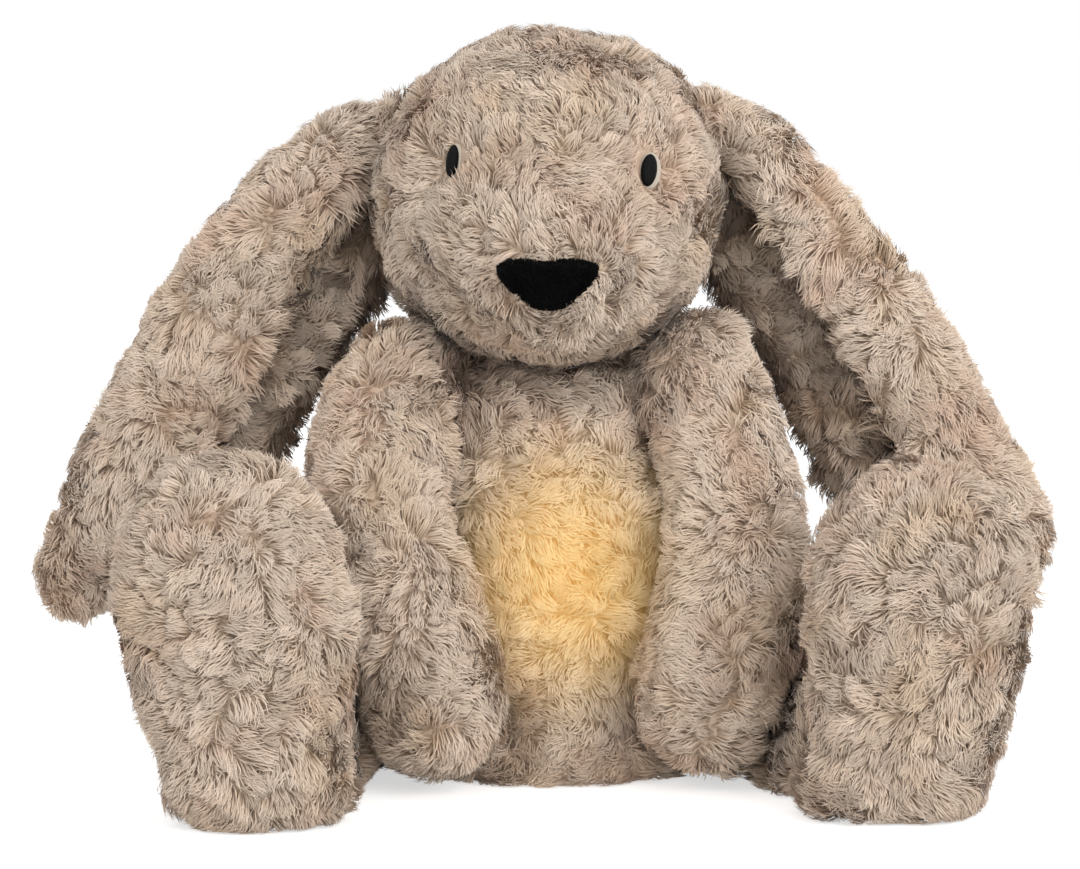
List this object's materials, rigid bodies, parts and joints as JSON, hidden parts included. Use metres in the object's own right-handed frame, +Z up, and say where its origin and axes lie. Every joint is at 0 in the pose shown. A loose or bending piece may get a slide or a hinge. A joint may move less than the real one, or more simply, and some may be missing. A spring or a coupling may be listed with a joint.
{
  "type": "plush sleep trainer",
  "caption": "Sitting long-pile plush rabbit with lop ears, hinged soft limbs and a light and sound module behind its belly, reached through a flap on the back.",
  "frame": {"origin": "centre of the flat seat under the body, on the surface that it sits on", "axes": "+Z up, the animal faces -Y, its own left side is +X"},
  "size_m": [0.3403, 0.2145, 0.249],
  "materials": {
    "fur": "matte",
    "filling": "matte",
    "velour": "matte",
    "thread": "satin",
    "felt": "matte",
    "lining": "matte",
    "tape": "matte",
    "shell": "satin",
    "frosted": "matte",
    "button": "satin",
    "board": "satin",
    "chip": "matte",
    "led": "gloss",
    "cell": "satin",
    "cone": "matte",
    "steel": "satin"
  },
  "bodies": {
    "torso": {"torso_cover": "fur", "tail": "fur", "torso_filling": "filling", "module_pouch": "lining", "torso_loop_tape": "tape", "front_housing": "shell", "rear_housing": "shell", "battery_door": "shell", "light_diffuser": "frosted", "main_board": "board", "button_board": "board", "control_chip": "chip", "tact_switch_power": "chip", "tact_switch_volume_up": "chip", "tact_switch_volume_down": "chip", "led_1": "led", "led_2": "led", "led_3": "led", "led_4": "led", "battery_1": "cell", "battery_2": "cell", "battery_3": "cell", "speaker_cone": "cone", "speaker_frame": "steel", "speaker_magnet": "steel", "battery_spring_1": "steel", "battery_spring_2": "steel", "battery_spring_3": "steel", "battery_contact_1": "steel", "battery_contact_2": "steel", "battery_contact_3": "steel", "housing_screw_1": "steel", "housing_screw_2": "steel", "housing_screw_3": "steel", "housing_screw_4": "steel", "battery_door_screw": "steel"},
    "head": {"head": "fur", "nose": "velour", "eye_left": "thread", "eye_right": "thread", "eye_backing_left": "felt", "eye_backing_right": "felt"},
    "ear_left": {"ear_left": "fur"},
    "ear_right": {"ear_right": "fur"},
    "arm_left": {"arm_left": "fur"},
    "arm_right": {"arm_right": "fur"},
    "leg_left": {"leg_left": "fur", "foot_left": "fur"},
    "leg_right": {"leg_right": "fur", "foot_right": "fur"},
    "back_flap": {"back_flap": "fur", "flap_hook_tape": "tape"},
    "power_button": {"power_button": "button"},
    "volume_up_button": {"volume_up_button": "button"},
    "volume_down_button": {"volume_down_button": "button"}
  },
  "joints": [
    {"name": "head_tilt_back", "type": "hinge", "parent": "torso", "child": "head", "pos_m": [0, 0.00479, 0.152], "axis": [-0.9976, 0.0698, 0], "range_deg": [0, 8]},
    {"name": "ear_left_lift", "type": "hinge", "parent": "head", "child": "ear_left", "pos_m": [0.0495, -0.00409, 0.22207], "axis": [-0.0698, -0.9976, 0], "range_deg": [0, 60]},
    {"name": "ear_right_lift", "type": "hinge", "parent": "head", "child": "ear_right", "pos_m": [-0.05026, 0.00289, 0.22207], "axis": [0.0698, 0.9976, 0], "range_deg": [0, 60]},
    {"name": "arm_left_lift", "type": "hinge", "parent": "torso", "child": "arm_left", "pos_m": [0.04951, -0.03238, 0.12996], "axis": [-0.9903, 0.1392, 0], "range_deg": [0, 60]},
    {"name": "arm_right_lift", "type": "hinge", "parent": "torso", "child": "arm_right", "pos_m": [-0.05172, -0.03022, 0.12996], "axis": [-0.9903, -0.1392, 0], "range_deg": [0, 60]},
    {"name": "leg_left_lift", "type": "hinge", "parent": "torso", "child": "leg_left", "pos_m": [0.06442, -0.00577, 0.0195], "axis": [-0.9848, 0, 0.1736], "range_deg": [0, 20]},
    {"name": "leg_right_lift", "type": "hinge", "parent": "torso", "child": "leg_right", "pos_m": [-0.06442, -0.00577, 0.0195], "axis": [-0.9848, 0, -0.1736], "range_deg": [0, 20]},
    {"name": "back_flap_open", "type": "hinge", "parent": "torso", "child": "back_flap", "pos_m": [0, 0.05135, 0.1218], "axis": [1, 0, 0], "range_deg": [0, 90]},
    {"name": "power_button_press", "type": "slide", "parent": "torso", "child": "power_button", "axis": [0, -1, 0], "range_m": [0, 0.0008], "stiffness_N_per_m": 500},
    {"name": "volume_up_button_press", "type": "slide", "parent": "torso", "child": "volume_up_button", "axis": [0, -1, 0], "range_m": [0, 0.0008], "stiffness_N_per_m": 500},
    {"name": "volume_down_button_press", "type": "slide", "parent": "torso", "child": "volume_down_button", "axis": [0, -1, 0], "range_m": [0, 0.0008], "stiffness_N_per_m": 500}
  ]
}
